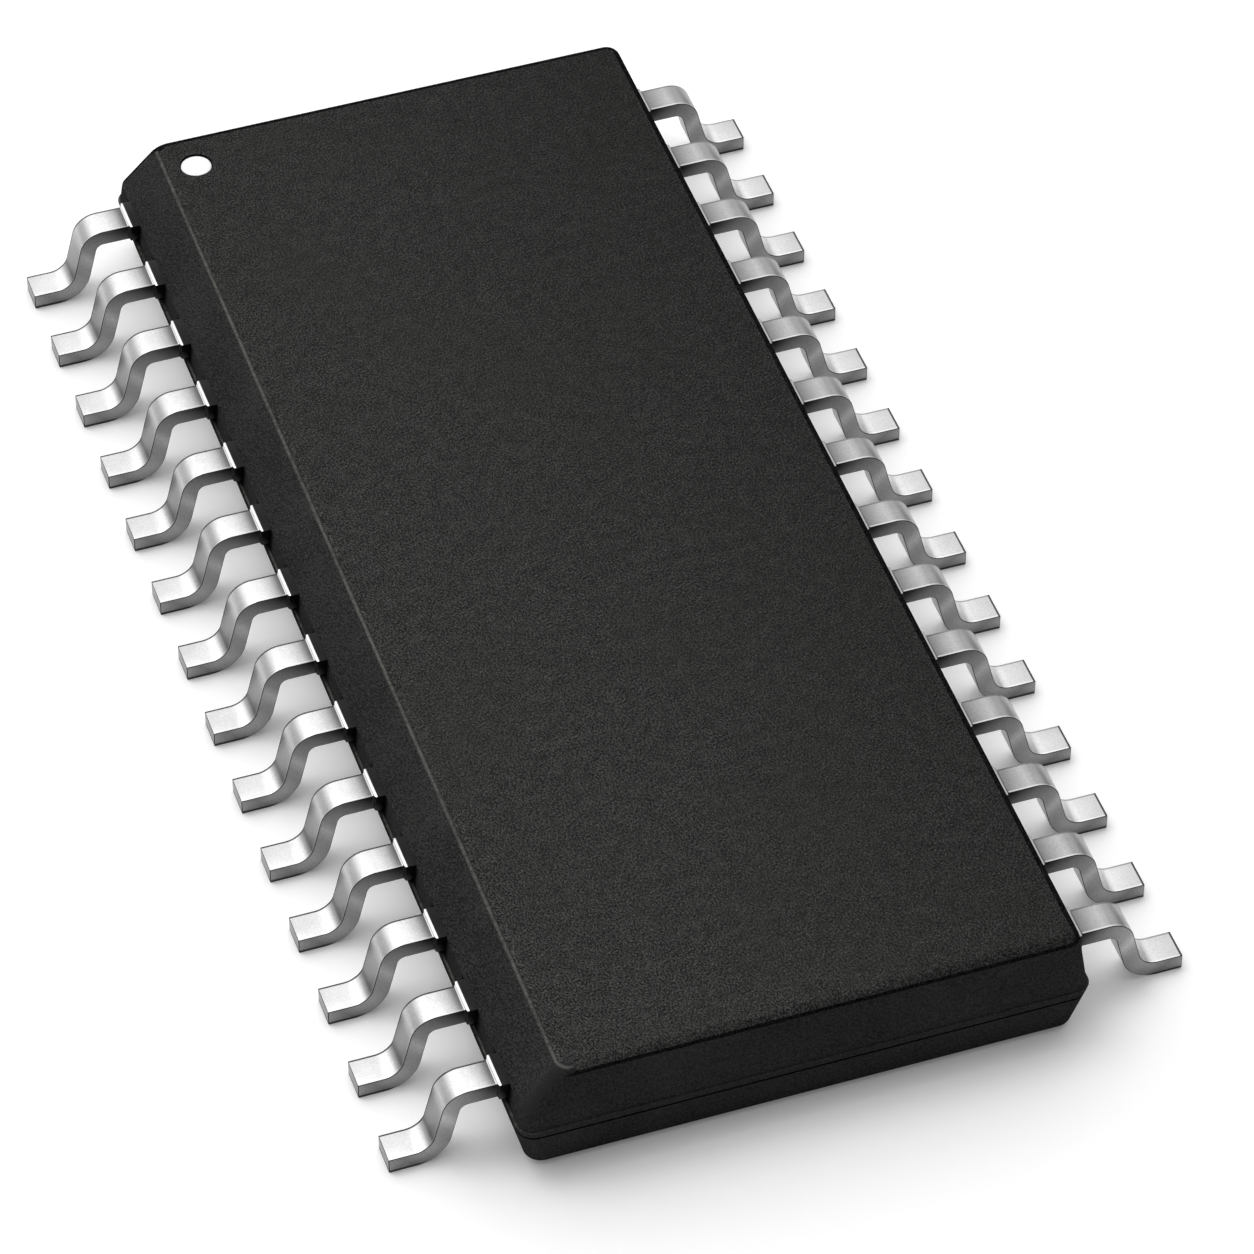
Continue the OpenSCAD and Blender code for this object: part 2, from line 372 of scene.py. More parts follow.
def wallPaint(s):
    where = s.place()
    height = s.axis(where, 2)
    grain = s.noise(where, 34.0, detail=3.0, roughness=0.6)
    patches = s.noise(where, 0.9)
    tone = (grain * 0.8 + patches * 0.2).between(0.3, 0.7)
    walls = s.blend(tone, grey(0.014), grey(0.043))
    # painted shadow: the long walls are black beside each lead, where the leads shade them, and plain midway
    # between two
    fromLead = s.math("ABSOLUTE", offLead(s, where))
    longWall = s.math("ABSOLUTE", s.axis(where, 0)).between(*leadShadowOnWall["side"])
    band = height.between(*leadShadowOnWall["over"]) * (1 - height.between(*leadShadowOnWall["under"]))
    paintedLeadShadow = longWall * band * (1 - fromLead.between(*leadShadowOnWall["fromLead"]))
    return s.surface({
        "Base Color": s.blend(paintedLeadShadow, walls, grey(0.002)),
        "Roughness": 0.6 + patches * 0.15,
        "Specular IOR Level": 0.0,
        "Normal": s.bump(grain, 0.012, 0.6),
    })


def edgePaint(darkest, lightest):
    def paint(s):
        where = s.place()
        grain = s.noise(where, 30.0, detail=3.0, roughness=0.6)
        return s.surface({
            "Base Color": s.blend(grain.between(0.35, 0.65), grey(darkest), grey(lightest)),
            "Roughness": 0.6 + grain * 0.15,
            "Specular IOR Level": 0.0,
            "Normal": s.bump(grain, 0.02, 0.8),
        })
    return paint


mouldedGrain = material("mouldedGrain", grainPaint)
mouldedBevel = material("mouldedBevel", bevelPaint)
mouldedWall = material("mouldedWall", wallPaint)
# painted highlight for the ledge along the pin 1 side
paintedLedgeHighlight = material("paintedLedgeHighlight", ledgeHighlightPaint)
# painted shade for the steep parts of the rounded rims of the top
shadedRimEdge = material("shadedRimEdge", edgePaint(0.002, 0.014))
mouldSeam = material("mouldSeam", edgePaint(0.0005, 0.003))
plainLedge = material("plainLedge", edgePaint(0.03, 0.055))
caseFinishes = {"grain": 0, "bevel": 1, "wall": 2, "litLedge": 3, "soft": 4, "ledge": 5, "seam": 6}


def lowerHalf(d):
    # leans out from the underside to a ledge, with the thin groove of the mould's seam round it
    bm = bmesh.new()
    height = d["parting"] - d["underside"]
    middle = Matrix.Translation((0, 0, d["underside"] + height / 2))
    block = Matrix.Diagonal((d["width"], d["length"], height, 1))
    bmesh.ops.create_cube(bm, size=1.0, matrix=middle @ block)
    setback = height * math.tan(math.radians(d["lowerDraft"]))
    shrink = (1 - 2 * setback / d["width"], 1 - 2 * setback / d["length"], 1)
    bmesh.ops.scale(bm, vec=shrink, verts=[v for v in bm.verts if v.co.z < d["parting"] - height / 2])
    uprights = [e for e in bm.edges if abs(e.verts[0].co.z - e.verts[1].co.z) > height / 2]
    roundEdges(bm, uprights, d["corner"], d["cornerSteps"])
    lowest = d["underside"] + d["sameLevel"]
    lower = [e for e in sharpEdges(bm, d["cornerAngle"]) if max(v.co.z for v in e.verts) < lowest]
    roundEdges(bm, lower, d["lowEdge"], d["smallSteps"])
    bm.normal_update()
    for side in (-0.5, 0.5):
        bmesh.ops.bisect_plane(
            bm, geom=bm.verts[:] + bm.edges[:] + bm.faces[:],
            plane_co=(0, 0, d["seam"] + side * d["seamWidth"]), plane_no=(0, 0, 1),
        )
    groove = [
        f for f in bm.faces
        if abs(f.calc_center_median().z - d["seam"]) < d["seamWidth"] / 2
        and abs(f.normal.z) < d["grooveFacing"]
    ]
    bmesh.ops.inset_region(
        bm, faces=groove, thickness=d["seamWidth"] * d["seamSide"], depth=-d["seamDepth"],
        use_boundary=True, use_even_offset=True,
    )
    lid = max(bm.faces, key=lambda f: f.calc_center_median().z)
    bmesh.ops.inset_region(bm, faces=[lid], thickness=d["ledge"], use_even_offset=True)
    bmesh.ops.delete(bm, geom=[lid], context="FACES_ONLY")
    return bm


def upperHalf(d, slope):
    # stands on the ledge, leans in to the top and is cut off along the pin 1 side by the bevel
    bm = bmesh.new()
    width = d["width"] - 2 * d["ledge"]
    length = d["length"] - 2 * d["ledge"]
    height = d["top"] - d["parting"]
    middle = Matrix.Translation((0, 0, d["top"] - height / 2))
    bmesh.ops.create_cube(bm, size=1.0, matrix=middle @ Matrix.Diagonal((width, length, height, 1)))
    setback = topInset(d) - d["ledge"]
    shrink = (1 - 2 * setback / width, 1 - 2 * setback / length, 1)
    bmesh.ops.scale(bm, vec=shrink, verts=[v for v in bm.verts if v.co.z > d["top"] - height / 2])
    cut = bmesh.ops.bisect_plane(
        bm, geom=bm.verts[:] + bm.edges[:] + bm.faces[:], plane_co=(bevelEdge(d), 0, d["top"]),
        plane_no=slope, clear_outer=True,
    )["geom_cut"]
    bmesh.ops.contextual_create(bm, geom=[g for g in cut if isinstance(g, bmesh.types.BMEdge)])
    faceNormals(bm)
    # soft corners, then the outline of the top, then the foot of the bevel
    corners = [
        e for e in sharpEdges(bm, d["cornerAngle"])
        if any(abs(f.normal.y) > d["endFacing"] for f in e.link_faces)
        and any(abs(f.normal.x) > d["sideFacing"] for f in e.link_faces)
    ]
    roundEdges(bm, corners, d["corner"] - d["ledge"], d["cornerSteps"])
    rimLevel = d["top"] - d["sameLevel"]
    rim = [e for e in sharpEdges(bm, d["rimAngle"]) if min(v.co.z for v in e.verts) > rimLevel]
    roundEdges(bm, rim, d["topEdge"], d["edgeSteps"])
    footLevel = d["parting"] + d["aboveParting"]
    foot = [e for e in sharpEdges(bm, d["rimAngle"]) if min(v.co.z for v in e.verts) > footLevel]
    roundEdges(bm, foot, d["bevelFoot"], d["smallSteps"])
    base = min(bm.faces, key=lambda f: f.calc_center_median().z)
    bmesh.ops.delete(bm, geom=[base], context="FACES_ONLY")
    return bm


# how the faces of the case are told apart: most are shares of a face's normal along an axis
faceRules = {
    "flat": 0.9,
    "litLedgeReach": 0.05,  # this far in from the pin 1 side
    "seamCore": 0.4,  # of the groove's width
    "pinSide": -0.02,
    "topTilt": 0.95,
    "farSide": 0.1,
    "nearSide": -0.6,
    "nearRim": 0.4,
    "wallTilt": 0.18,  # steeper faces are walls
    "bevelSlope": 0.6,
    "bevelTilt": 0.3,
    "farGrain": (0.03, 0.998),  # faces turned this far to the far end, and how level the grained ones are
    "nearGrain": 0.54,
    "rightGrain": 0.96,
}


def lowFinish(middle, tilt, d, rules):
    # the ledge along the pin 1 side takes the painted highlight, the other ledges the plain finish
    if abs(middle.z - d["parting"]) < d["ledge"] / 6 and tilt > rules["flat"]:
        return "litLedge" if middle.x < rules["litLedgeReach"] - d["width"] / 2 else "ledge"
    inGroove = abs(middle.z - d["seam"]) < d["seamWidth"] * rules["seamCore"]
    return "seam" if inGroove and abs(tilt) < rules["flat"] else "wall"


def caseFinish(face, d, rules, slope):
    middle = face.calc_center_median()
    across, along, tilt = face.normal  # tilt is 1 on a level face and 0 on an upright one
    if middle.z < d["parting"] + d["aboveParting"]:
        return lowFinish(middle, tilt, d, rules)
    if across < rules["pinSide"] and tilt < rules["topTilt"]:
        atRim = middle.z > d["top"] - d["topEdge"] and rules["wallTilt"] < tilt < rules["nearRim"]
        # on the pin 1 side the far rim and the near rim take the painted shade
        if along > rules["farSide"] or atRim and along < rules["nearSide"]:
            return "soft"
        onBevel = face.normal.dot(slope) > rules["bevelSlope"] and tilt > rules["bevelTilt"]
        return "bevel" if onBevel else "wall"
    # the grain runs over the near rim and stops short of the right and far ones, whose steeper parts take the
    # painted shade
    turned = max(across, 0.0) / max(math.hypot(across, along), 0.001)
    farSide, grained = rules["farGrain"]
    if along <= farSide:
        grained = rules["nearGrain"] + (rules["rightGrain"] - rules["nearGrain"]) * turned**2
    if tilt > grained:
        return "grain"
    return "soft" if tilt > rules["wallTilt"] else "wall"


def buildMoulding(d):
    slope = Vector((-d["bevelDepth"], 0, d["bevelWidth"])).normalized()
    bm = lowerHalf(d)
    upper = upperHalf(d, slope)
    carrier = bpy.data.meshes.new("upperHalf")
    upper.to_mesh(carrier)
    upper.free()
    bm.from_mesh(carrier)
    bpy.data.meshes.remove(carrier)
    meeting = [v for v in bm.verts if any(e.is_boundary for e in v.link_edges)]
    bmesh.ops.remove_doubles(bm, verts=meeting, dist=d["ledge"] / 4)
    faceNormals(bm)
    for face in bm.faces:
        face.material_index = caseFinishes[caseFinish(face, d, faceRules, slope)]
    # dimple: a small square is cut out of the top face, rounded and sunk
    lid = max((f for f in bm.faces if f.normal.z > d["lidFacing"]), key=lambda f: f.calc_area())
    centre = Vector((*dotPlace(d), d["top"]))
    half = d["dimpleRadius"] + d["dimpleMargin"]
    for axis in (Vector((0, 1, 0)), Vector((1, 0, 0))):
        for side in (-1, 1):
            cutPlace = centre + axis * side * half
            parts = bmesh.ops.bisect_plane(
                bm, geom=[lid, *lid.edges, *lid.verts], plane_co=cutPlace, plane_no=axis,
            )["geom"]
            faces = [f for f in parts if isinstance(f, bmesh.types.BMFace)]
            lid = next(f for f in faces if (f.calc_center_median() - cutPlace).dot(axis) * side < 0)
    bmesh.ops.subdivide_edges(bm, edges=lid.edges[:], cuts=d["dimpleCuts"])
    bmesh.ops.inset_individual(bm, faces=[lid], thickness=d["dimpleInset"])
    for vert in lid.verts:
        spoke = (vert.co - centre).normalized()
        vert.co = centre + spoke * d["dimpleRadius"]
    lid.material_index = caseFinishes["soft"]
    lipDepth = sum(down for _, down in d["dimpleLip"])
    for inward, down in (*d["dimpleLip"], (d["dimpleWall"], d["dimpleDepth"] - lipDepth)):
        bmesh.ops.inset_individual(bm, faces=[lid], thickness=inward, depth=-down)
    faceNormals(bm)
    finishes = (mouldedGrain, mouldedBevel, mouldedWall, paintedLedgeHighlight, shadedRimEdge, plainLedge, mouldSeam)
    return finishPiece(bm, "mouldedCase", finishes, ["moulded_body"])


case = buildMoulding(moulding)
print("moulding:", len(case.data.polygons), "faces")


# pin 1 dot

dot = {
    "place": dotPlace(moulding),
    "radius": 0.213,
    "floor": 1.65,
    "top": 1.68,
    "steps": 48,
    "wallShare": 0.6,
    "dome": ((0.006, 0.55), (0.012, 0.3), (0.04, 0.15)),  # steps inward, and shares of the rise
}


def inkPaint(s):
    where = s.place()
    mottle = s.noise(where, 12.0, detail=3.0)
    pores = s.noise(where, 60.0, detail=1.0)
    return s.surface({
        "Base Color": s.blend(mottle.between(0.3, 0.7), grey(0.93), grey(0.98)),
        "Roughness": 0.5 + pores * 0.2,
        "Specular IOR Level": 0.3,
        "Normal": s.bump(pores, 0.002, 0.3),
    })


whiteInk = material("whiteInk", inkPaint)


def buildDot(d):
    bm = bmesh.new()
    bmesh.ops.create_circle(
        bm, cap_ends=True, segments=d["steps"], radius=d["radius"],
        matrix=Matrix.Translation((*d["place"], d["floor"])),
    )
    raised = bmesh.ops.extrude_face_region(bm, geom=bm.faces[:])["geom"]
    top = [g for g in raised if isinstance(g, bmesh.types.BMVert)]
    height = d["top"] - d["floor"]
    bmesh.ops.translate(bm, vec=(0, 0, height * d["wallShare"]), verts=top)
    faceNormals(bm)
    lid = max(bm.faces, key=lambda f: f.calc_center_median().z)
    rise = height * (1 - d["wallShare"])
    for inward, up in d["dome"]:
        bmesh.ops.inset_individual(bm, faces=[lid], thickness=inward, depth=rise * up)
    faceNormals(bm)
    return finishPiece(bm, "pinOneDot", (whiteInk,), ["pin_1_dot"])


buildDot(dot)
print("dot done")


# leads

# painted highlights and shade on the top of a lead, by the distance from the case's centre line:
# bright where the bends and the collar catch the light, dark beside the case and in the crease above the foot
tinLightLeft = (
    (3.77, 0.015), (3.785, 0.9), (3.823, 0.92), (3.832, 0.1), (3.87, 0.15), (3.96, 0.42), (4.1, 0.68),
    (4.26, 0.79), (4.33, 0.71), (4.4, 0.46), (4.43, 0.48), (4.49, 0.66), (4.545, 0.36), (4.62, 0.27),
    (4.65, 0.15), (4.72, 0.8), (4.75, 0.9), (4.85, 0.7), (5.2, 0.6),
)
tinLightRight = (
    (3.74, 0.03), (3.77, 0.42), (3.81, 0.5), (3.83, 0.2), (4.0, 0.36), (4.12, 0.45), (4.23, 0.33), (4.3, 0.4),
    (4.5, 0.43), (4.61, 0.68), (4.66, 0.95), (4.8, 0.9), (4.9, 0.65), (5.2, 0.57),
)
# the same painted highlights and shade for the cut sides, by the distance out less the height, which grows
# from case to foot
sideLightLevels = (
    (2.73, 0.005), (2.84, 0.045), (3.0, 0.14), (3.17, 0.24), (3.58, 0.36), (3.75, 0.52),
    (3.95, 0.34), (4.1, 0.3), (4.4, 0.36), (4.65, 0.31), (4.85, 0.21), (5.08, 0.3),
)
tinRows = {
    "left": {"levels": tinLightLeft, "brightest": 0.9, "farEdgeShade": 0.95, "tipEdgeShade": 0.0, "nearHighlight": 0.1},
    "right": {"levels": tinLightRight, "brightest": 0.91, "farEdgeShade": 0.5, "tipEdgeShade": 0.95, "nearHighlight": 0.35},
}
# strips on a lead fade between two distances: in from an edge, past the collar or up from the board
strips = {
    "nearHighlightStrip": (0.022, 0.034),
    "farEdgeShade": (0.026, 0.036),
    "tipEdgeShade": (0.024, 0.036),
    "cutTip": (0.005, 0.02),
    "collar": (0.0, 0.02),
    "contactShadow": (0.028, 0.055),
}


def tinPaint(row):
    def paint(s):
        where = s.place()
        across = s.math("ABSOLUTE", s.axis(where, 0))
        cloud = s.noise(where, 2.2, detail=3.0, roughness=0.6)
        crystals = s.noise(where, 44.0, detail=3.0, roughness=0.7)
        fine = s.noise(where, 80.0, detail=1.0)
        tone = (cloud * 0.35 + crystals * 0.65).between(0.32, 0.68)
        tin = s.blend(tone, grey(0.76 * row["brightest"]), grey(row["brightest"]))
        # painted highlights and shade along the lead
        tin = s.shade(across.ramp(row["levels"]), tin)
        # painted highlight along the near edge, and painted shade along the far edge, in one row the tip too
        aside = offLead(s, where)
        half = lead["width"] / 2
        pastCollar = (across - lead["collarEnd"]).between(*strips["collar"])
        fromNear, fromFar, fromTip = aside + half, half - aside, lead["tip"] - across
        nearHighlightStrip = pastCollar * (1 - fromNear.between(*strips["nearHighlightStrip"])) * row["nearHighlight"]
        edgeShade = pastCollar * (1 - fromFar.between(*strips["farEdgeShade"])) * row["farEdgeShade"]
        if row["tipEdgeShade"]:
            edgeShade = s.math("MAXIMUM", edgeShade, (1 - fromTip.between(*strips["tipEdgeShade"])) * row["tipEdgeShade"])
        tin = s.blend(nearHighlightStrip, tin, grey(row["brightest"]))
        tin = s.blend(edgeShade, tin, grey(0.03))
        return s.surface({
            "Base Color": tin,
            "Metallic": 1.0,
            "Roughness": 0.28 + crystals * 0.12,
            "Normal": s.bump(crystals + fine * 0.4, 0.0025, 0.35),
        })
    return paint


def stampedPaint(s):
    where = s.place()
    across = s.math("ABSOLUTE", s.axis(where, 0))
    drag = s.noise(s.stretched(where, 0, (1.0, 1.0, 1.5)), 42.0, detail=3.0, roughness=0.65)
    fine = s.noise(where, 70.0, detail=1.0)
    tone = (drag * 0.7 + fine * 0.3).between(0.3, 0.7)
    height = s.axis(where, 2)
    # painted highlights and shade along the cut side
    sideLight = (across - height).ramp(sideLightLevels)
    cutTip = 1 - (lead["tip"] - across).between(*strips["cutTip"])
    sideLight = s.blend(cutTip, sideLight, grey(0.355))
    # painted contact shadow: the sides turn dark just above the board
    contactShadow = (1 - height.between(*strips["contactShadow"])) * 0.95
    sideLight = s.blend(contactShadow, sideLight, grey(0.02))
    return s.surface({
        "Base Color": s.shade(sideLight, s.blend(tone, grey(0.78), grey(1.0))),
        "Metallic": 1.0,
        "Roughness": 0.38 + drag * 0.15,
        "Normal": s.bump(drag + fine * 0.5, 0.004, 0.4),
    })


# painted shade on the rounded edges of a lead: dark outlines where the edges turn from the light and meet the
# floor
def edgeShadePaint(s):
    where = s.place()
    nicks = s.noise(where, 40.0, detail=3.0, roughness=0.6)
    return s.surface({
        "Base Color": s.blend(nicks.between(0.3, 0.7), grey(0.008), grey(0.04)),
        "Metallic": 1.0,
        "Roughness": 0.4 + nicks * 0.15,
        "Normal": s.bump(nicks, 0.003, 0.4),
    })


# the two rows carry different painted highlights and shade
tinPlates = {
    "left": material("tinPaintedLightLeft", tinPaint(tinRows["left"])),
    "right": material("tinPaintedLightRight", tinPaint(tinRows["right"])),
}
stampedSide = material("stampedSide", stampedPaint)
paintedEdgeShade = material("paintedEdgeShade", edgeShadePaint)
leadFinishes = {"tin": 0, "side": 1, "edgeShade": 2}
# how a lead's faces are told apart: by shares of the normal, and by distances from tip, collar and edge
leadRules = {"side": 0.97, "edgeShade": 0.3, "fromTip": 0.02, "fromCollar": 0.02, "fromEdge": 0.01}


def sectionFrame(point, heading, width, thickness):
    # a lead's cross-section: X along the metal, Y across it, Z through its thickness
    ahead = Vector(heading).normalized()
    across = Vector((-ahead.y, ahead.x, 0.0)).normalized() if abs(ahead.z) < 0.99 else Vector((0, 1, 0))
    up = ahead.cross(across)
    turn = Matrix((ahead, across, up)).transposed().to_4x4()
    return Matrix.Translation(point) @ turn @ Matrix.Diagonal((1, width, thickness, 1))


def carryOn(bm, end, move):
    # extrudes the end face by a move, leaving no wall inside the metal
    tip = len(bm.faces) == 1
    grown = bmesh.ops.extrude_face_region(bm, geom=[end])["geom"]
    if end.is_valid and not tip:
        bmesh.ops.delete(bm, geom=[end], context="FACES_ONLY")
    fresh = next(g for g in grown if isinstance(g, bmesh.types.BMFace))
    bmesh.ops.transform(bm, matrix=move, verts=fresh.verts[:])
    return fresh


def swing(bm, end, centre, angle, steps):
    turned = bmesh.ops.spin(
        bm, geom=[end, *end.edges, *end.verts], cent=centre, axis=(0, 1, 0),
        angle=math.radians(angle), steps=steps,
    )["geom_last"]
    return next(g for g in turned if isinstance(g, bmesh.types.BMFace))


def leadFinish(face, d, rules):
    middle = face.calc_center_median()
    facing = abs(face.normal.y)
    if middle.x > d["tip"] - rules["fromTip"]:
        facing = max(facing, face.normal.x)
    if facing > rules["side"]:
        return "side"
    besideCollar = abs(middle.x - d["collarEnd"]) < rules["fromCollar"]
    atEdge = abs(middle.y) > d["width"] / 2 - rules["fromEdge"]
    # rounded edges and the corners beside the collar take the painted edge shade
    return "edgeShade" if facing > rules["edgeShade"] or besideCollar and atEdge else "tin"


def buildLead(number, d):
    left = number <= d["perRow"]
    rank = number - 1 if left else 2 * d["perRow"] - number
    fromEnd = min(rank, d["perRow"] - 1 - rank)
    place = ((d["perRow"] - 1) / 2 - rank) * d["pitch"]
    towardMiddle = (1 if left else -1) * (1 if place > 0 else -1)
    thickness = d["thickness"]
    legWidth = d["width"]
    fingerWidth = d["fingerWidth"]
    footRadius = d["footBend"] + thickness / 2  # to the middle of the metal
    shoulderRadius = d["shoulderBend"] + thickness / 2
    bend = 90 - d["lean"]
    footX = d["tip"] - d["footLength"]
    inward = (-1, 0, 0)

    bm = bmesh.new()
    here = sectionFrame((d["tip"], 0, thickness / 2), inward, legWidth, thickness)
    flat = Matrix(((0, 0, 1, 0), (1, 0, 0, 0), (0, 1, 0, 0), (0, 0, 0, 1)))
    bmesh.ops.create_grid(bm, x_segments=1, y_segments=1, size=0.5, matrix=here @ flat)
    bm.faces.ensure_lookup_table()
    end = bm.faces[0]
    there = sectionFrame((footX, 0, thickness / 2), inward, legWidth, thickness)
    end = carryOn(bm, end, there @ here.inverted())
    # foot bend, leg and shoulder bend
    footCentre = Vector((footX, 0, thickness + d["footBend"]))
    end = swing(bm, end, footCentre, bend, d["bendSteps"])
    legHeading = Vector((-math.cos(math.radians(bend)), 0, math.sin(math.radians(bend))))
    outward = Vector((-legHeading.z, 0, legHeading.x))
    legFoot = footCentre + outward * footRadius
    legTop = d["underside"] - d["shoulderBend"] + shoulderRadius * math.cos(math.radians(bend))
    legLength = (legTop - legFoot.z) / legHeading.z
    end = carryOn(bm, end, Matrix.Translation(legHeading * legLength))
    legShoulder = legFoot + legHeading * legLength
    shoulderCentre = legShoulder + outward * shoulderRadius
    end = swing(bm, end, shoulderCentre, -bend, d["bendSteps"])
    # shoulder, collar and finger
    level = d["underside"] + thickness / 2
    raised = thickness + d["collarRaise"]
    here = sectionFrame((shoulderCentre.x, 0, level), inward, legWidth, thickness)
    path = [
        (d["collarEnd"], legWidth, thickness),
        (d["collarEnd"] - d["collarTaper"], d["collarWidth"], raised),
        (d["collarStart"] + d["collarTaper"], d["collarWidth"], raised),
        (d["collarStart"], fingerWidth, thickness),
    ]
    for x, width, thick in path:
        there = sectionFrame((x, 0, d["underside"] + thick / 2), inward, width, thick)
        end = carryOn(bm, end, there @ here.inverted())
        here = there
    if fromEnd < d["endLeads"]:
        fingerX = d["endFingerStart"] + fromEnd * d["endFingerPitch"]
        drop = abs(place) - d["fingerEndY"]
        turn = math.radians(d["fingerMitre"])
        mitre = fingerWidth / math.cos(turn)
        slant = (-math.cos(turn), towardMiddle * math.sin(turn), 0)
        steep = (-math.sin(turn), towardMiddle * math.cos(turn), 0)
        stops = [
            ((fingerX + d["fingerCorner"], 0), slant, mitre),
            ((fingerX, towardMiddle * d["fingerCorner"]), steep, mitre),
            ((fingerX, towardMiddle * drop), (0, towardMiddle, 0), fingerWidth),
        ]
    else:
        stops = [((d["fingerEndX"], 0), inward, fingerWidth)]
    for point, heading, width in stops:
        there = sectionFrame((*point, level), heading, width, thickness)
        end = carryOn(bm, end, there @ here.inverted())
        here = there
    bmesh.ops.remove_doubles(bm, verts=bm.verts, dist=d["weld"])
    faceNormals(bm)
    roundEdges(bm, sharpEdges(bm, d["edgeAngle"]), d["edge"], d["edgeSteps"])
    faceNormals(bm)
    for face in bm.faces:
        face.material_index = leadFinishes[leadFinish(face, d, leadRules)]
    if left:
        bmesh.ops.rotate(bm, cent=(0, 0, 0), matrix=Matrix.Rotation(math.pi, 3, "Z"), verts=bm.verts)
    bmesh.ops.translate(bm, vec=(0, place, 0), verts=bm.verts)
    name = f"{number:02d}"
    finishes = (tinPlates["left" if left else "right"], stampedSide, paintedEdgeShade)
    return finishPiece(bm, "lead" + name, finishes, ["lead_" + name])


leads = [buildLead(number, lead) for number in range(1, 2 * lead["perRow"] + 1)]
print("leads:", len(leads), "with", len(leads[0].data.polygons), "faces on the first")


# inside: finishes for the solids that the moulding hides

def copperPaint(s):
    where = s.place()
    rolled = s.noise(s.stretched(where, 0, (1.0, 12.0, 8.0)), 24.0, detail=3.0)
    return s.surface({
        "Base Color": s.blend(rolled.between(0.3, 0.7), (0.62, 0.3, 0.18, 1), (0.78, 0.42, 0.27, 1)),
        "Metallic": 1.0,
        "Roughness": 0.3 + rolled * 0.2,
        "Normal": s.bump(rolled, 0.002, 0.3),
    })


def silverPastePaint(s):
    where = s.place()
    flakes = s.noise(where, 35.0, detail=3.0, roughness=0.7)
    return s.surface({
        "Base Color": s.blend(flakes.between(0.35, 0.65), grey(0.42), grey(0.68)),
        "Metallic": flakes.between(0.4, 0.6) * 0.7,
        "Roughness": 0.4 + flakes * 0.25,
        "Normal": s.bump(flakes, 0.003, 0.4),
    })


def siliconPaint(s):
    where = s.place()
    cells = s.node("ShaderNodeTexBrick", {"offset": 0.0}, {
        "Vector": where, "Color1": grey(0.16), "Color2": grey(0.3), "Mortar": grey(0.06),
        "Scale": 4.0, "Mortar Size": 0.04, "Brick Width": 0.8, "Row Height": 0.6,
    })
    sheen = s.noise(where, 1.5)
    return s.surface({
        "Base Color": s.blend(sheen.between(0.3, 0.7) * 0.4, cells, (0.12, 0.14, 0.24, 1)),
        "Metallic": 0.5,
        "Roughness": 0.18 + sheen * 0.1,
    })


def goldPaint(s):
    where = s.place()
    drawn = s.noise(where, 40.0)
    return s.surface({
        "Base Color": s.blend(drawn.between(0.3, 0.7), (0.82, 0.56, 0.2, 1), (0.95, 0.7, 0.3, 1)),
        "Metallic": 1.0,
        "Roughness": 0.2 + drawn * 0.15,
    })


insides = {
    "die_pad": material("copperStrip", copperPaint),
    "die_attach": material("silverPaste", silverPastePaint),
    "silicon_die": material("patternedSilicon", siliconPaint),
    "bond_wires": material("goldWire", goldPaint),
}
for name, finish in insides.items():
    nodes[name].data.materials.clear()
    nodes[name].data.materials.append(finish)
print("inner finishes:", len(insides))


# floor, light and camera

studio = {
    "floorSize": 1.2,
    "floorLift": 0.12,
    "skyToward": (-0.1, 0.6, 0.8),
    "skySpread": (0.1, 1.0),
    "skyBright": 1.68,
    "skyDim": 0.05,
    "keyPlace": (-0.05, 0.05, 0.186),
    "keySize": 0.075,
    "keyPower": 0.065,
}


def floorPaint(s):
    seen = s.node("ShaderNodeLightPath", output="Is Camera Ray")
    mirrored = s.node("ShaderNodeLightPath", output="Is Glossy Ray")
    through = s.node("ShaderNodeLightPath", output="Is Transmission Ray")
    direct = s.math("MAXIMUM", s.math("MAXIMUM", seen, mirrored), through)
    where = s.place()
    paper = s.noise(where, 3.0)
    matte = s.surface({
        "Base Color": s.blend(paper, grey(0.93), grey(0.96)),
        "Roughness": 0.9,
        "Specular IOR Level": 0.0,
    })
    lift = s.node(
        "ShaderNodeEmission", inputs={"Color": grey(1.0), "Strength": direct * studio["floorLift"]}
    )
    return s.node("ShaderNodeAddShader", inputs={0: matte, 1: lift})


def buildFloor(d):
    bm = bmesh.new()
    bmesh.ops.create_grid(bm, x_segments=1, y_segments=1, size=d["floorSize"] / 2)
    mesh = bpy.data.meshes.new("floor")
    bm.to_mesh(mesh)
    bm.free()
    mesh.materials.append(material("palePaper", floorPaint))
    floor = bpy.data.objects.new("floor", mesh)
    bpy.context.scene.collection.objects.link(floor)


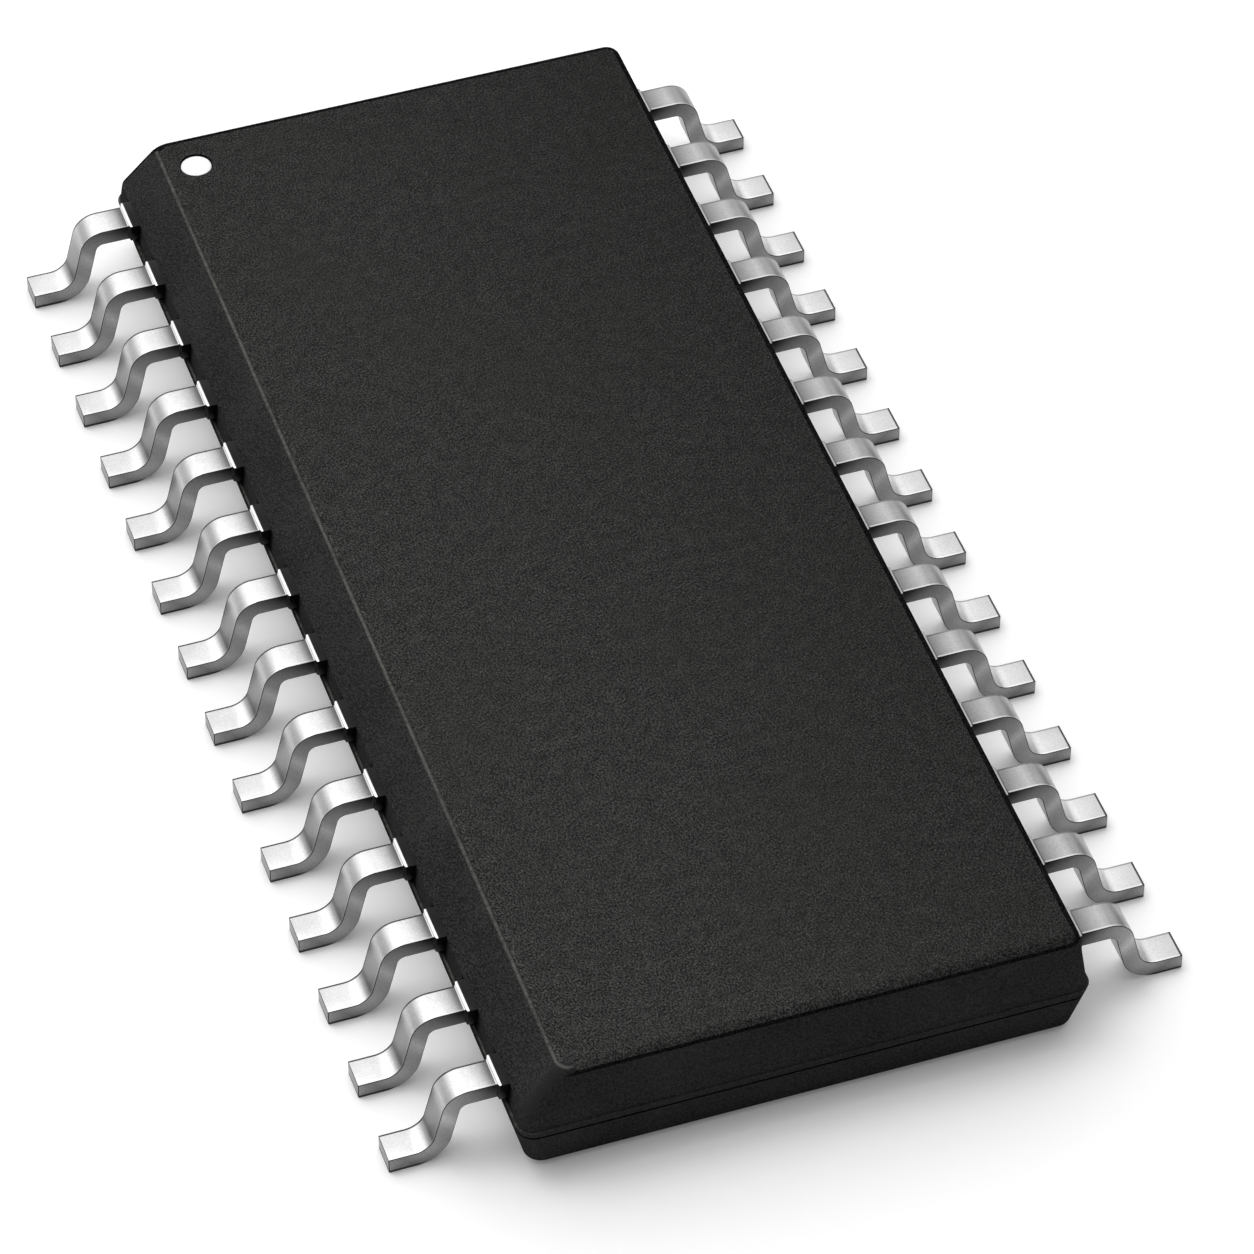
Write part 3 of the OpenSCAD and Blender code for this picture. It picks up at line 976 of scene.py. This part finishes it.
def buildSky(d):
    world = bpy.data.worlds.new("studio")
    world.use_nodes = True
    world.node_tree.nodes.clear()
    s = Socket(world.node_tree)
    direction = s.node("ShaderNodeTexCoord", output="Generated")
    bright = Vector(d["skyToward"]).normalized()
    toward = s.node("ShaderNodeVectorMath", {"operation": "DOT_PRODUCT"}, {0: direction, 1: bright}, "Value")
    glow = toward.between(*d["skySpread"]) * (d["skyBright"] - d["skyDim"]) + d["skyDim"]
    seen = s.node("ShaderNodeLightPath", output="Is Camera Ray")
    strength = seen + (1 - seen) * glow
    s.node(
        "ShaderNodeOutputWorld",
        inputs={"Surface": s.node("ShaderNodeBackground", inputs={"Color": grey(1.0), "Strength": strength})},
    )
    bpy.context.scene.world = world


def buildLamp(name, place, size, power):
    lamp = bpy.data.lights.new(name, "AREA")
    lamp.shape = "SQUARE"
    lamp.size = size
    lamp.energy = power
    holder = bpy.data.objects.new(name, lamp)
    holder.location = place
    holder.rotation_euler = (-Vector(place)).to_track_quat("-Z", "Y").to_euler()
    bpy.context.scene.collection.objects.link(holder)


buildFloor(studio)
buildSky(studio)
buildLamp("key", studio["keyPlace"], studio["keySize"], studio["keyPower"])
print("studio done")

shot = {
    "azimuth": 18.789,
    "elevation": 45.273,
    "distance": 86.549,
    "target": (0.5573, -0.5073, 0.0),
    "lens": 187.65,
    "sensor": 36.0,
    "clip": (0.001, 5.0),  # metres
}


def buildCamera(d):
    azimuth = math.radians(d["azimuth"])
    elevation = math.radians(d["elevation"])
    forward = Vector((
        math.sin(azimuth) * math.cos(elevation),
        math.cos(azimuth) * math.cos(elevation),
        -math.sin(elevation),
    ))
    camera = bpy.data.cameras.new("camera")
    camera.lens = d["lens"]
    camera.sensor_width = d["sensor"]
    camera.clip_start, camera.clip_end = d["clip"]
    holder = bpy.data.objects.new("camera", camera)
    holder.location = (Vector(d["target"]) - forward * d["distance"]) * millimetre
    holder.rotation_euler = forward.to_track_quat("-Z", "Y").to_euler()
    bpy.context.scene.collection.objects.link(holder)
    bpy.context.scene.camera = holder


buildCamera(shot)
bpy.context.scene.view_settings.view_transform = "Standard"

print("scene ready")
